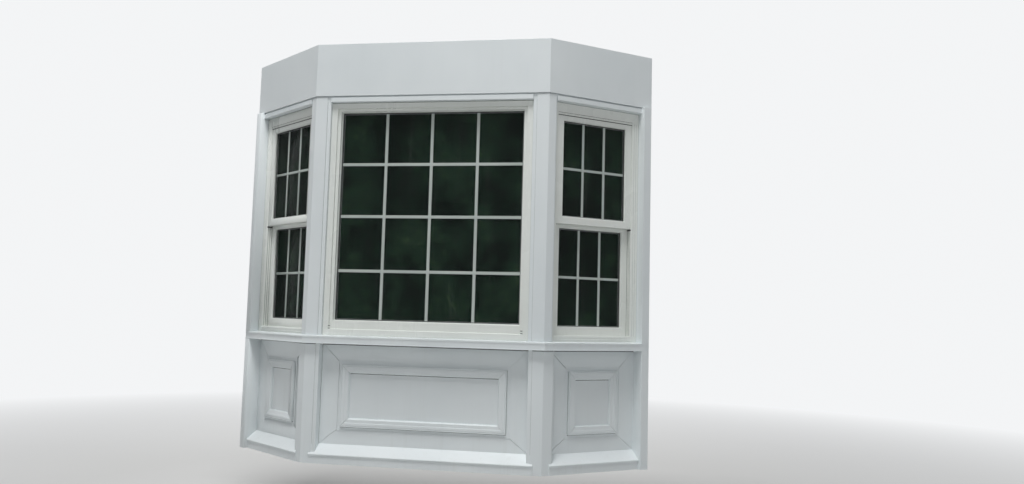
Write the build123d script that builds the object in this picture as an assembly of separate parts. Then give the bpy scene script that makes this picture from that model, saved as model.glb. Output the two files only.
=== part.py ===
from build123d import *
import os
from math import cos, radians, sin, tan

# A three-sided bay window that hangs on a wall, in millimetres.
# The wall face is Y = 0 and the bay stands out to -Y. X runs right seen from outdoors, Z up.
# The origin is the middle of the lower ledger's back, where the bay is fixed to the wall.
# On each face, "place" runs along the face, from the middle of the front or from the fold
# of a flank, and "out" is the distance in front of the corner posts' faces.

# Plan of the whole bay
projection = 452.0
flank_angle = 36.7
reveal_depth = 80.5
jamb_face = 49.4
jamb_proud = 26.0

# Heights of the zones
ledger_height = 140.0
apron_height = 660.0
sill_face = 42.0
sill_rise = 5.0
window_zone = 1370.0
header_height = 305.0

# Boards inside the shell
ledger_thickness = 38.0
head_board_thickness = 34.0
head_board_setback = 14.0
roof_board_thickness = 20.0
underside_thickness = 15.0

# Header and the narrow trim under it
header_thickness = 19.0
header_proud = 5.5
trim_proud = 3.0
trim_height = 25.0
trim_lip = 6.0
post_gap = 5.0
post_gap_depth = 8.0

# Sill
sill_projection = 26.0

# Window units
window_depth = 100.0
glass_thickness = 6.0
glass_bite = 8.0

# Fixed picture window
picture_width = 1174.0
picture_setback = 20.0
picture_flange = 35.0
picture_flange_depth = 14.0
picture_side = 53.0
picture_bottom = 83.0
picture_top = 50.0
picture_glass_setback = 62.0

# Double-hung windows on the flanks
window_setback = 30.0
frame_near_side = 25.0
frame_far_side = 44.0
frame_bottom = 33.0
frame_top = 64.0
sash_clearance = 1.0
sash_setback = 36.0
sash_thickness = 28.0
sash_gap = 2.0
sash_glass_setback = 11.0
lower_sash_height = 638.0
sash_overlap = 21.0
stile_width = 39.0
top_rail = 34.0
meeting_rail = 40.0
bottom_rail = 47.0

# Corner posts: a face, and a thin strip set back beside the window or the panel
upper_face_front = 68.5
upper_strip_front = 21.0
upper_strip_setback = 5.0
upper_flank_edge = 52.0
upper_strip_flank = 6.0
lower_face_front = 62.5
lower_strip_front = 22.0
lower_strip_setback = 3.0
lower_flank_edge = 66.0
lower_strip_flank = 6.0

# Apron panels
apron_setback = 60.0
field_thickness = 12.0
surround_thickness = 8.0
groove_width = 17.0
panel_margin_top = 116.0
panel_margin_bottom = 97.0
front_panel_margin = 121.0
flank_panel_near_margin = 121.0
flank_panel_far_margin = 117.0
moulding_width = 48.0
moulding_ridge = 35.0
moulding_relief = 19.0
moulding_inner_relief = 6.0

# Ledge at the foot of the apron: a sloped top, a nose and an upright skirt
ledge_rear_height = 102.0
nose_height = 52.0
nose_thickness = 7.0
nose_proud = 10.0
skirt_proud = 4.0
ledge_lap_front = 36.0
ledge_lap_flank = 23.0

turn = radians(flank_angle)
along = (cos(turn), sin(turn))
outward = (sin(turn), -cos(turn))
half_picture = picture_width / 2
half_front = half_picture + upper_strip_front + upper_face_front
lower_front_edge = half_front - lower_face_front - lower_strip_front
jamb_place = (projection - reveal_depth) / along[1]
half_overall = half_front + (jamb_place + jamb_face) * along[0] + jamb_proud * outward[0]

apron_top = ledger_height / 2
sill_top = apron_top + sill_face
seat = sill_top + sill_rise
header_bottom = sill_top + window_zone
header_top = header_bottom + header_height
head_bottom = header_bottom - head_board_thickness
bay_bottom = apron_top - apron_height
header_back = header_proud - header_thickness
field_front = -apron_setback
field_back = field_front - field_thickness
surround_front = field_front + surround_thickness
ledge_rear = bay_bottom + ledge_rear_height
far = projection + 2 * half_front


def fold(out):
    # The corner between the front and the right flank.
    return (half_front + out * tan(turn / 2), -projection - out)


def on_flank(place, out):
    x = half_front + place * along[0] + out * outward[0]
    y = -projection + place * along[1] + out * outward[1]
    return (x, y)


def flank_at_wall(place):
    # Where a line square to the flank meets the wall.
    return on_flank(place, (place * along[1] - projection) / -outward[1])


def flank_at_edge(out, edge):
    # Where a face parallel to the flank meets a line square to the wall.
    return on_flank((edge - half_front - out * outward[0]) / along[0], out)


def other_side(points):
    return [(-x, y) for x, y in reversed(points)]


front_face = Plane(origin=(0, -projection, 0), x_dir=(1, 0, 0), z_dir=(0, -1, 0))
flank_face = Plane(
    origin=(half_front, -projection, 0), x_dir=(*along, 0), z_dir=(*outward, 0)
)


def prism(points, bottom, top):
    outline = Pos(0, 0, bottom) * Polygon(*points, align=None)
    return extrude(outline, amount=top - bottom, dir=(0, 0, 1))


def board(face, places, outs, heights):
    spans = (places, heights, outs)
    middle = [(low + high) / 2 for low, high in spans]
    size = [high - low for low, high in spans]
    return face * Pos(*middle) * Box(*size)


def bar(face, profile, places):
    # A profile of (out, height) points drawn along a face.
    start = Plane(
        origin=face.from_local_coords((places[0], 0, 0)), x_dir=face.z_dir, z_dir=-face.x_dir
    )
    outline = start * Polygon(*profile, align=None)
    return extrude(outline, amount=places[1] - places[0], dir=face.x_dir)


def grown(places, heights, border):
    return (
        (places[0] - border, places[1] + border),
        (heights[0] - border, heights[1] + border),
    )


def funnel(face, back_rectangle, back, front_rectangle, front):
    # A solid between two upright rectangles at different outs.
    outlines = []
    for (places, heights), out in ((back_rectangle, back), (front_rectangle, front)):
        middle = Pos(sum(places) / 2, sum(heights) / 2, out)
        size = (places[1] - places[0], heights[1] - heights[0])
        outlines.append(face * middle * Rectangle(*size))
    return loft(outlines, ruled=True)


def front_region(inner, outer):
    right = [fold(outer), fold(inner)]
    return right + other_side(right)


def whole_region(out):
    right = [fold(out), on_flank(far, out)]
    return right + other_side(right)


behind_wall = Pos(0, far, 0) * Box(4 * far, 2 * far, 4 * far)
past_end = Pos(half_overall + far, 0, 0) * Box(2 * far, 4 * far, 4 * far)


def trimmed(solid):
    return solid - behind_wall - past_end - mirror(past_end, about=Plane.YZ)


pieces = {}


def pair(name, right_piece):
    pieces[f"{name}_right"] = right_piece
    pieces[f"{name}_left"] = mirror(right_piece, about=Plane.YZ)


# Header boards, mitred at the folds, with short returns to the wall
header_inner_edge = half_overall - header_thickness
header_plan = [
    fold(header_proud),
    flank_at_edge(header_proud, half_overall),
    (half_overall, 0),
    (header_inner_edge, 0),
    flank_at_edge(header_back, header_inner_edge),
    fold(header_back),
]
pieces["header_front"] = prism(
    front_region(header_back, header_proud), header_bottom, header_top
)
pair("header", prism(header_plan, header_bottom, header_top))

# Boards inside the header
header_inside = [
    fold(header_back),
    flank_at_edge(header_back, header_inner_edge),
    (header_inner_edge, 0),
]
header_inside += other_side(header_inside)
pieces["roof_board"] = prism(header_inside, header_top - roof_board_thickness, header_top)
in_front_of_ledgers = Pos(0, -ledger_thickness - far, 0) * Box(4 * far, 2 * far, 4 * far)
upper_ledger = prism(header_inside, header_bottom, header_bottom + ledger_height)
pieces["upper_ledger"] = upper_ledger - in_front_of_ledgers

# Head board over the windows and seat board under them
head_board = trimmed(prism(whole_region(-head_board_setback), head_bottom, header_bottom))
pieces["head_board"] = head_board
pieces["seat_board"] = trimmed(prism(whole_region(-window_depth), apron_top, seat))

# Sills: a sloped nose outside the posts, level under them
slope = [
    (0, seat),
    (0, seat + sill_face),
    (2 * sill_projection, seat + sill_face),
    (2 * sill_projection, seat - 2 * sill_rise),
]
flank_sill_plan = [
    fold(sill_projection),
    on_flank(far, sill_projection),
    on_flank(far, -window_depth),
    fold(-window_depth),
]
sill_front = prism(front_region(-window_depth, sill_projection), apron_top, seat)
pieces["sill_front"] = sill_front - bar(front_face, slope, (-far, far))
flank_sill = trimmed(prism(flank_sill_plan, apron_top, seat))
pair("sill", flank_sill - bar(flank_face, slope, (-far, 2 * far)))

# Wall jambs, above and below the sill
jamb_plan = [
    on_flank(jamb_place, jamb_proud),
    flank_at_edge(jamb_proud, half_overall),
    (half_overall, 0),
    flank_at_wall(jamb_place),
]
pair("upper_jamb", prism(jamb_plan, seat, header_bottom) - head_board)
pair("lower_jamb", prism(jamb_plan, bay_bottom, apron_top))


# Corner posts, above and below the sill
def post_plan(front_edge, front_strip, flank_edge, flank_strip, setback, depth):
    front = -projection
    return [
        (front_edge, front + depth),
        (front_edge, front + setback),
        (front_edge + front_strip, front + setback),
        (front_edge + front_strip, front),
        fold(0),
        on_flank(flank_edge - flank_strip, 0),
        on_flank(flank_edge - flank_strip, -setback),
        on_flank(flank_edge, -setback),
        on_flank(flank_edge, -depth),
        fold(-depth),
    ]


upper_plan = post_plan(
    half_picture,
    upper_strip_front,
    upper_flank_edge,
    upper_strip_flank,
    upper_strip_setback,
    window_depth,
)
lower_plan = post_plan(
    lower_front_edge,
    lower_strip_front,
    lower_flank_edge,
    lower_strip_flank,
    lower_strip_setback,
    -field_back,
)
gap_outs = (-post_gap_depth, sill_projection)
gap_heights = (header_bottom - post_gap, header_bottom)
upper_post = prism(upper_plan, seat, header_bottom) - head_board
upper_post -= board(front_face, (0, far), gap_outs, gap_heights)
upper_post -= board(flank_face, (-jamb_face, jamb_place), gap_outs, gap_heights)
lower_post = prism(lower_plan, bay_bottom, apron_top)
pair("upper_post", upper_post)
pair("lower_post", lower_post)

# Narrow trim under the header, with a shadow gap over it
trim_top = head_bottom + trim_height
trim_profile = [
    (-head_board_setback, head_bottom),
    (trim_proud, head_bottom),
    (trim_proud, trim_top),
    (trim_lip - head_board_setback, trim_top),
    (trim_lip - head_board_setback, header_bottom),
    (-head_board_setback, header_bottom),
]
pieces["head_trim_front"] = bar(front_face, trim_profile, (-half_picture, half_picture))
pair("head_trim", bar(flank_face, trim_profile, (upper_flank_edge, jamb_place)))


# Window units: a ring with its glass in a groove
def ring(face, places, heights, opening_places, opening_heights, outs):
    frame = board(face, places, outs, heights)
    return frame - board(face, opening_places, outs, opening_heights)


def glass_sheet(face, places, heights, front):
    sheet_places, sheet_heights = grown(places, heights, glass_bite)
    return board(face, sheet_places, (front - glass_thickness, front), sheet_heights)


window_heights = (seat, head_bottom)

# Fixed picture window, with a flange that stands in front of its frame
picture_places = (-half_picture, half_picture)
picture_opening = (picture_side - half_picture, half_picture - picture_side)
picture_opening_heights = (seat + picture_bottom, head_bottom - picture_top)
picture_outs = (-window_depth, -picture_setback)
rebate_places, rebate_heights = grown(picture_places, window_heights, -picture_flange)
rebate_outs = (-picture_setback - picture_flange_depth, -picture_setback)
picture_glass = glass_sheet(
    front_face, picture_opening, picture_opening_heights, -picture_glass_setback
)
picture_frame = ring(
    front_face,
    picture_places,
    window_heights,
    picture_opening,
    picture_opening_heights,
    picture_outs,
)
picture_frame -= board(front_face, rebate_places, rebate_outs, rebate_heights)
pieces["picture_frame"] = picture_frame - picture_glass
pieces["picture_glass"] = picture_glass

# Double-hung windows: a frame, and two sashes one behind the other
window_places = (upper_flank_edge, jamb_place)
opening_places = (upper_flank_edge + frame_near_side, jamb_place - frame_far_side)
opening_heights = (seat + frame_bottom, head_bottom - frame_top)
window_outs = (-window_depth, -window_setback)
window_frame = ring(
    flank_face, window_places, window_heights, opening_places, opening_heights, window_outs
)
pair("window_frame", trimmed(window_frame))

sash_places = (opening_places[0] + sash_clearance, opening_places[1] - sash_clearance)
lower_sash_top = opening_heights[0] + lower_sash_height
upper_sash_bottom = lower_sash_top - sash_overlap


def sash(name, heights, lowest_rail, highest_rail, front):
    glass_places = (sash_places[0] + stile_width, sash_places[1] - stile_width)
    glass_heights = (heights[0] + lowest_rail, heights[1] - highest_rail)
    glass = glass_sheet(flank_face, glass_places, glass_heights, front - sash_glass_setback)
    outs = (front - sash_thickness, front)
    frame = ring(flank_face, sash_places, heights, glass_places, glass_heights, outs)
    pair(f"{name}_sash", frame - glass)
    pair(f"{name}_glass", glass)


upper_sash_front = -sash_setback
lower_sash_front = upper_sash_front - sash_thickness - sash_gap
sash("upper", (upper_sash_bottom, opening_heights[1]), meeting_rail, top_rail, upper_sash_front)
sash("lower", (opening_heights[0], lower_sash_top), bottom_rail, meeting_rail, lower_sash_front)

# Apron panels: a recessed field, flat boards round it and a raised moulding
panel_heights = (ledge_rear + panel_margin_bottom, apron_top - panel_margin_top)


def panel(face, places, moulding_places):
    field = board(face, places, (field_back, field_front), (bay_bottom, apron_top))
    groove_places, groove_heights = grown(moulding_places, panel_heights, groove_width)
    surround = ring(
        face,
        places,
        (ledge_rear, apron_top),
        groove_places,
        groove_heights,
        (field_front, surround_front),
    )
    ridge_top = field_front + moulding_relief
    inner_top = field_front + moulding_inner_relief
    crest = grown(moulding_places, panel_heights, -moulding_ridge)
    inner = grown(moulding_places, panel_heights, -moulding_width)
    moulding = ring(
        face, moulding_places, panel_heights, inner[0], inner[1], (field_front, ridge_top)
    )
    moulding -= funnel(face, inner, inner_top, crest, ridge_top)
    return field, surround, moulding


front_places = (-lower_front_edge, lower_front_edge)
front_moulding = (front_panel_margin - lower_front_edge, lower_front_edge - front_panel_margin)
field, surround, moulding = panel(front_face, front_places, front_moulding)
pieces["apron_field_front"] = field
pieces["apron_surround_front"] = surround
pieces["apron_moulding_front"] = moulding

flank_places = (lower_flank_edge, jamb_place)
flank_moulding = (
    lower_flank_edge + flank_panel_near_margin,
    jamb_place - flank_panel_far_margin,
)
field, surround, moulding = panel(flank_face, flank_places, flank_moulding)
pair("apron_field", trimmed(field))
pair("apron_surround", surround)
pair("apron_moulding", moulding)

# Ledge at the foot, whose nose and skirt lap over the faces of the corner posts
nose_top = bay_bottom + nose_height
nose_bottom = nose_top - nose_thickness
ledge_profile = [
    (field_front, ledge_rear),
    (surround_front, ledge_rear),
    (nose_proud, nose_top),
    (nose_proud, nose_bottom),
    (skirt_proud, nose_bottom),
    (skirt_proud, bay_bottom),
    (field_front, bay_bottom),
]
ledge_end = lower_front_edge + ledge_lap_front
front_ledge = bar(front_face, ledge_profile, (-ledge_end, ledge_end)) - lower_post
pieces["apron_ledge_front"] = front_ledge - mirror(lower_post, about=Plane.YZ)
flank_ledge_places = (lower_flank_edge - ledge_lap_flank, jamb_place)
pair("apron_ledge", bar(flank_face, ledge_profile, flank_ledge_places) - lower_post)

# Boards inside the apron
apron_inside = [fold(field_back), on_flank(jamb_place, field_back), flank_at_wall(jamb_place)]
apron_inside += other_side(apron_inside)
pieces["underside_board"] = prism(apron_inside, bay_bottom, bay_bottom + underside_thickness)
lower_ledger = prism(apron_inside, apron_top - ledger_height, apron_top)
pieces["lower_ledger"] = lower_ledger - in_front_of_ledgers

os.makedirs("parts", exist_ok=True)
for name, piece in pieces.items():
    export_step(piece, f"parts/{name}.step")
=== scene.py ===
import math
import random

import bpy
from mathutils import Matrix, Vector


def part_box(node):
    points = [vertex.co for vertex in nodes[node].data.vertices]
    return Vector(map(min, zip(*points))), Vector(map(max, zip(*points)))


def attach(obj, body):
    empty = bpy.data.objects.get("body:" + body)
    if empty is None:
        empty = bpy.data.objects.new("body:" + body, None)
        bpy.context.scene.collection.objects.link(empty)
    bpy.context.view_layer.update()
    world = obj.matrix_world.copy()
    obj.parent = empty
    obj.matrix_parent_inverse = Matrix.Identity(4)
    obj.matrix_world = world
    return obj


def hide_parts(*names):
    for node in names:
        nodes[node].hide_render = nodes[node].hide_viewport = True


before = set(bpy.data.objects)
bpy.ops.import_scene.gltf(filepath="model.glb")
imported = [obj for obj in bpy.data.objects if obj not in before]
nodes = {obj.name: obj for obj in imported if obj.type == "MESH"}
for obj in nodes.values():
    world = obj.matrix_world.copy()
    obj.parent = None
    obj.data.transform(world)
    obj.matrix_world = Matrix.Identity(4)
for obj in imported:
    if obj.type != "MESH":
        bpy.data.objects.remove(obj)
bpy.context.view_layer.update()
print("Frame loaded with", len(nodes), "nodes")

# Places are in metres. On a face of the bay, x runs along it, y goes in from its plane
# and z is up. Flank pieces are modelled on the right and mirrored to the left.
bay = {
    "halfFront": 0.6765,
    "projection": 0.452,
    "flankAngle": math.radians(36.7),
    "halfWidth": 1.23005,
}
onFront = Matrix.Translation((0, -bay["projection"], 0))
onRight = (Matrix.Translation((bay["halfFront"], -bay["projection"], 0))
           @ Matrix.Rotation(bay["flankAngle"], 4, "Z"))
toLeft = Matrix.Scale(-1, 4, (1, 0, 0))

camera = {
    "lens": 29.2,
    "sensor": 36,
    "place": (1.2279, -4.9045, 0.2554),
    "yaw": -0.164787,
    "pitch": 0.087705,
    "roll": 0.026080,
    "reach": 200,
}


def placeCamera():
    yaw, pitch, roll = camera["yaw"], camera["pitch"], camera["roll"]
    ahead = Vector((math.sin(yaw) * math.cos(pitch),
                    math.cos(yaw) * math.cos(pitch), math.sin(pitch)))
    level = Vector((math.cos(yaw), -math.sin(yaw), 0))
    rise = level.cross(ahead)
    right = math.cos(roll) * level + math.sin(roll) * rise
    up = -math.sin(roll) * level + math.cos(roll) * rise
    bpy.ops.object.camera_add()
    eye = bpy.context.object
    eye.name = "photoCamera"
    turned = Matrix((right, up, -ahead)).transposed().to_4x4()
    eye.matrix_world = Matrix.Translation(camera["place"]) @ turned
    eye.data.lens = camera["lens"]
    eye.data.sensor_width = camera["sensor"]
    eye.data.clip_end = camera["reach"]
    bpy.context.scene.camera = eye


studio = {
    "floorHeight": -0.95,
    "floorSize": 60,
    "floorColour": (0.64, 0.64, 0.63, 1),
    "floorRough": 0.9,
    "floorGloss": 0.1,
    "skyColour": (0.93, 0.96, 1.0, 1),
    "skyLight": 0.17,
    "backdropColour": (0.90, 0.91, 0.92, 1),
    "fade": (2.6, 8.0),       # the floor turns to the backdrop between these distances
    # place, aim, size and watts of each soft lamp
    "lamps": {
        "keyLamp": ((-0.3, -3.4, 8.8), (0, -0.3, 0.2), 3.0, 590),
        "fillLamp": ((2.2, -6.4, 2.8), (0, -0.3, 0.5), 3.0, 44),
        "rearLamp": ((-1.5, 5.2, 4.2), (0, 0, 0.5), 3.0, 190),
    },
}


def lightStudio():
    for name, (place, aim, size, watts) in studio["lamps"].items():
        bpy.ops.object.light_add(type="AREA", location=place)
        lamp = bpy.context.object
        lamp.name = name
        away = Vector(place) - Vector(aim)
        lamp.rotation_euler = away.to_track_quat("Z", "Y").to_euler()
        lamp.data.shape = "SQUARE"
        lamp.data.size = size
        lamp.data.energy = watts


class Shade:
    # a value, colour or vector in a material; maths on it adds the nodes
    def __init__(self, tree, socket=None):
        self.tree = tree
        self.socket = socket

    def make(self, kind, settings=None, inputs=None, output=0):
        node = self.tree.nodes.new(kind)
        for name, value in (settings or {}).items():
            setattr(node, name, value)
        for name, value in (inputs or {}).items():
            if isinstance(value, Shade):
                self.tree.links.new(value.socket, node.inputs[name])
            else:
                node.inputs[name].default_value = value
        return Shade(self.tree, node.outputs[output] if node.outputs else None)

    def maths(self, operation, first, second):
        return self.make("ShaderNodeMath", {"operation": operation}, {0: first, 1: second})

    def __add__(self, other):
        return self.maths("ADD", self, other)

    def __radd__(self, other):
        return self.maths("ADD", other, self)

    def __sub__(self, other):
        return self.maths("SUBTRACT", self, other)

    def __rsub__(self, other):
        return self.maths("SUBTRACT", other, self)

    def __mul__(self, other):
        return self.maths("MULTIPLY", self, other)

    def __rmul__(self, other):
        return self.maths("MULTIPLY", other, self)

    def between(self, low, high):
        return self.make("ShaderNodeMapRange", {"clamp": True},
                         {"Value": self, "From Min": low, "From Max": high})

    def noise(self, stretch, detail=3, rough=0.5, twist=0.0):
        spread = self.make("ShaderNodeMapping", None, {"Vector": self, "Scale": stretch})
        return self.make("ShaderNodeTexNoise", None, {
            "Vector": spread, "Scale": 1.0, "Detail": detail,
            "Roughness": rough, "Distortion": twist})

    def blend(self, amount, first, second):
        return self.make("ShaderNodeMix", {"data_type": "RGBA"}, {0: amount, 6: first, 7: second}, 2)

    def relief(self, height, strength, distance, under=None):
        inputs = {"Height": height, "Strength": strength, "Distance": distance}
        if under:
            inputs["Normal"] = under
        return self.make("ShaderNodeBump", None, inputs)


def startMaterial(name):
    material = bpy.data.materials.new(name)
    material.use_nodes = True
    where = Shade(material.node_tree).make("ShaderNodeTexCoord", output="Object")
    return material, where


def finishMaterial(material, colour, shine, relief=None, gloss=None, others=None):
    # what varies is linked, and a number is set on the shader's own socket
    skin = material.node_tree.nodes["Principled BSDF"]
    sockets = {"Base Color": colour, "Roughness": shine, "Normal": relief, "Specular IOR Level": gloss}
    for name, value in {**sockets, **(others or {})}.items():
        if isinstance(value, Shade):
            material.node_tree.links.new(value.socket, skin.inputs[name])
        elif value is not None:
            skin.inputs[name].default_value = value
    return material


wrapLook = {
    "white": (0.80, 0.845, 0.855, 1),
    "cooler": (0.735, 0.785, 0.80, 1),
    "grime": (0.55, 0.56, 0.52, 1),
    "rough": 0.36,
    "gloss": 0.45,
}


def wrappedSheet():
    # white coated sheet bent over boards: slow waves, faint streaks, and grime low down and on sills
    material, where = startMaterial("wrapped sheet")
    clouds = where.noise((1.7, 1.7, 1.1), 3)
    streaks = where.noise((34, 34, 1.3), 4, 0.6).between(0.55, 0.80)
    specks = where.noise((140, 140, 140), 2).between(0.68, 0.80)
    height = where.make("ShaderNodeSeparateXYZ", None, {0: where}, "Z")
    low = 1 - height.between(-0.58, -0.15)
    sills = (1 - height.between(0.105, 0.16)) * height.between(0.02, 0.10)
    base = where.blend(clouds.between(0.35, 0.7), wrapLook["white"], wrapLook["cooler"])
    dirt = streaks * (0.05 + 0.14 * low + 0.08 * sills) + specks * (0.04 + 0.08 * low)
    colour = where.blend(dirt, base, wrapLook["grime"])
    waves = where.relief(where.noise((2.6, 2.6, 2.2), 1), 0.22, 0.02)
    peel = where.relief(where.noise((420, 420, 420), 2), 0.05, 0.001, waves)
    shine = clouds * 0.14 + streaks * 0.12 + (wrapLook["rough"] - 0.07)
    return finishMaterial(material, colour, shine, peel, wrapLook["gloss"])


vinylLook = {
    "white": (0.815, 0.843, 0.810, 1),
    "shade": (0.768, 0.798, 0.764, 1),
    "dust": (0.55, 0.56, 0.51, 1),
    "rough": 0.28,
    "gloss": 0.5,
}


def windowVinyl():
    # smooth moulded white with a soft sheen and a little dust where rain doesn't reach
    material, where = startMaterial("window vinyl")
    clouds = where.noise((2.3, 2.3, 2.3), 3)
    dust = where.noise((60, 60, 9), 4, 0.6).between(0.56, 0.78)
    base = where.blend(clouds.between(0.35, 0.7), vinylLook["white"], vinylLook["shade"])
    colour = where.blend(dust * 0.14, base, vinylLook["dust"])
    lines = where.relief(where.noise((900, 900, 3), 1), 0.03, 0.0006)
    swells = where.relief(where.noise((5, 5, 5), 1), 0.12, 0.004, lines)
    shine = clouds * 0.12 + dust * 0.20 + (vinylLook["rough"] - 0.06)
    return finishMaterial(material, colour, shine, swells, vinylLook["gloss"])


glassLook = {
    "tint": (0.03, 0.05, 0.04, 1),
    # deep paints the shade of the room behind the inner sheet, and the two greens under it paint reflections
    "deep": (0.001, 0.003, 0.002, 1),
    "reflectionGreen": (0.012, 0.030, 0.018, 1),
    "reflectionMottle": (0.045, 0.085, 0.036, 1),
    "dust": (0.30, 0.33, 0.30, 1),
    "rough": 0.03,
    "alpha": 0.10,
    "ior": 1.45,
    "outerGloss": 0.22,
    "innerGloss": 0.05,
}


def outerPane():
    # nearly clear sheet with slow waves, thin dust and a few run marks
    material, where = startMaterial("outer pane")
    runs = where.noise((46, 46, 1.6), 4, 0.65).between(0.58, 0.84)
    colour = where.blend(runs, glassLook["tint"], glassLook["dust"])
    waves = where.relief(where.noise((2.4, 2.4, 2.0), 1), 0.10, 0.008)
    shine = runs * 0.10 + glassLook["rough"]
    alpha = runs * 0.02 + glassLook["alpha"]
    return finishMaterial(material, colour, shine, waves, glassLook["outerGloss"],
                          {"Alpha": alpha, "IOR": glassLook["ior"]})


def innerPane():
    # the sheet behind the bars: very dark, as the shaded room behind the glass would look (painted shade),
    # with soft green clouds and mottling that are painted reflections
    material, where = startMaterial("inner pane")
    clouds = where.noise((3.4, 3.4, 3.0), 9, 0.70)
    reflectionMottle = where.noise((26, 26, 22), 5, 0.75).between(0.50, 0.66) * clouds.between(0.50, 0.62)
    colour = where.blend(clouds.between(0.42, 0.60), glassLook["deep"], glassLook["reflectionGreen"])
    colour = where.blend(reflectionMottle * 0.6, colour, glassLook["reflectionMottle"])
    waves = where.relief(where.noise((1.9, 1.9, 2.3), 1), 0.10, 0.008)
    shine = clouds * 0.03 + glassLook["rough"]
    return finishMaterial(material, colour, shine, waves, glassLook["innerGloss"],
                          {"IOR": glassLook["ior"]})


barLook = {
    "pale": (0.66, 0.73, 0.69, 1),
    "bright": (0.80, 0.86, 0.82, 1),
    "rough": 0.22,
}


def barMetal():
    # painted bars between the two sheets of a pane
    material, where = startMaterial("pane bars")
    clouds = where.noise((3, 3, 2), 3)
    colour = where.blend(clouds.between(0.35, 0.68), barLook["pale"], barLook["bright"])
    peel = where.relief(where.noise((500, 500, 500), 2), 0.04, 0.0006)
    shine = clouds * 0.12 + (barLook["rough"] - 0.05)
    return finishMaterial(material, colour, shine, peel)


timberLook = {
    "light": (0.66, 0.50, 0.32, 1),
    "dark": (0.45, 0.30, 0.17, 1),
    "pore": (0.30, 0.19, 0.10, 1),
    "knot": (0.20, 0.11, 0.06, 1),
    "rough": 0.62,
    "gloss": 0.3,
}


def bareTimber():
    # sawn softwood with its grain along x
    material, where = startMaterial("sawn timber")
    bands = where.noise((0.9, 17, 13), 5, 0.55, 1.4)
    fibres = where.noise((5, 260, 220), 4, 0.6)
    knots = where.noise((5.5, 21, 21), 1, 0.3).between(0.72, 0.84) * 0.7
    wood = where.blend(bands.between(0.36, 0.66), timberLook["light"], timberLook["dark"])
    wood = where.blend(fibres.between(0.55, 0.78) * 0.5, wood, timberLook["pore"])
    wood = where.blend(knots, wood, timberLook["knot"])
    saw = where.relief(where.noise((420, 26, 26), 2), 0.15, 0.0015)
    fuzz = where.relief(fibres, 0.35, 0.0012, saw)
    shine = fibres * 0.2 + timberLook["rough"]
    return finishMaterial(material, wood, shine, fuzz, timberLook["gloss"])


boardLook = {
    "white": (0.82, 0.82, 0.79, 1),
    "worn": (0.74, 0.73, 0.69, 1),
    "scuff": (0.60, 0.57, 0.50, 1),
    "rough": 0.46,
}


def paintedBoard():
    # flat paint brushed along the board over faint grain
    material, where = startMaterial("painted board")
    clouds = where.noise((2.0, 4.0, 4.0), 4)
    brush = where.noise((6, 170, 170), 3, 0.6)
    scuffs = where.noise((26, 60, 60), 4, 0.7).between(0.62, 0.80)
    colour = where.blend(clouds.between(0.35, 0.7), boardLook["white"], boardLook["worn"])
    colour = where.blend(scuffs * 0.25, colour, boardLook["scuff"])
    marks = where.relief(brush, 0.30, 0.0012)
    shine = brush * 0.18 + boardLook["rough"]
    return finishMaterial(material, colour, shine, marks)


sealantLook = {
    "cream": (0.74, 0.70, 0.62, 1),
    "drab": (0.62, 0.57, 0.50, 1),
    "pink": (0.60, 0.40, 0.33, 1),
    "rough": 0.5,
}


def sealant():
    # old bead, cream with pinkish dust on it
    material, where = startMaterial("old sealant")
    clouds = where.noise((40, 40, 14), 4, 0.6)
    dust = where.noise((90, 90, 30), 3, 0.6).between(0.50, 0.72)
    colour = where.blend(clouds.between(0.35, 0.68), sealantLook["cream"], sealantLook["drab"])
    colour = where.blend(dust * 0.6, colour, sealantLook["pink"])
    lumps = where.relief(where.noise((260, 260, 120), 3), 0.5, 0.002)
    return finishMaterial(material, colour, clouds * 0.2 + sealantLook["rough"], lumps)


# Name, colour, darker colour, roughness and metallic of each small part's finish. The gasket, filler and seam
# finishes also colour thin lines of painted shadow.
smallLooks = {
    "spacer": ("spacer metal", (0.30, 0.31, 0.31, 1), (0.20, 0.21, 0.21, 1), 0.30, 0.8),
    "screw": ("screw zinc", (0.55, 0.53, 0.46, 1), (0.40, 0.38, 0.33, 1), 0.28, 0.9),
    "gasketAndShadow": ("gasket rubber", (0.10, 0.10, 0.10, 1), (0.05, 0.05, 0.05, 1), 0.55, 0.0),
    "fillerAndShadow": ("joint filler", (0.34, 0.36, 0.34, 1), (0.24, 0.26, 0.24, 1), 0.6, 0.0),
    "seamAndShadow": ("pale seam", (0.50, 0.53, 0.52, 1), (0.40, 0.42, 0.41, 1), 0.6, 0.0),
}


def smallPartFinish(name, colour, darker, rough, metallic):
    # metal, rubber or filler with cloudy tone and fine scratches, also used for painted shadow lines
    material, where = startMaterial(name)
    clouds = where.noise((60, 60, 60), 4, 0.6)
    tint = where.blend(clouds.between(0.35, 0.68), colour, darker)
    scratches = where.relief(where.noise((700, 700, 60), 2), 0.12, 0.0005)
    shine = clouds * 0.25 + rough
    return finishMaterial(material, tint, shine, scratches, others={"Metallic": metallic})


finishes = {
    "sheet": wrappedSheet(),
    "vinyl": windowVinyl(),
    "glass": outerPane(),
    "innerGlass": innerPane(),
    "bars": barMetal(),
    "timber": bareTimber(),
    "board": paintedBoard(),
    "sealant": sealant(),
}
for finish, look in smallLooks.items():
    finishes[finish] = smallPartFinish(*look)
print("Materials made")


def seenDirectly(shade):
    # 1 where a ray comes from the eye, or from it by way of gloss or glass
    rays = shade.make("ShaderNodeLightPath").socket.node.outputs
    kinds = ("Is Camera Ray", "Is Glossy Ray", "Is Transmission Ray")
    eye, gloss, clear = (Shade(shade.tree, rays[kind]) for kind in kinds)
    return (eye + gloss + clear).between(0, 1)


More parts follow.
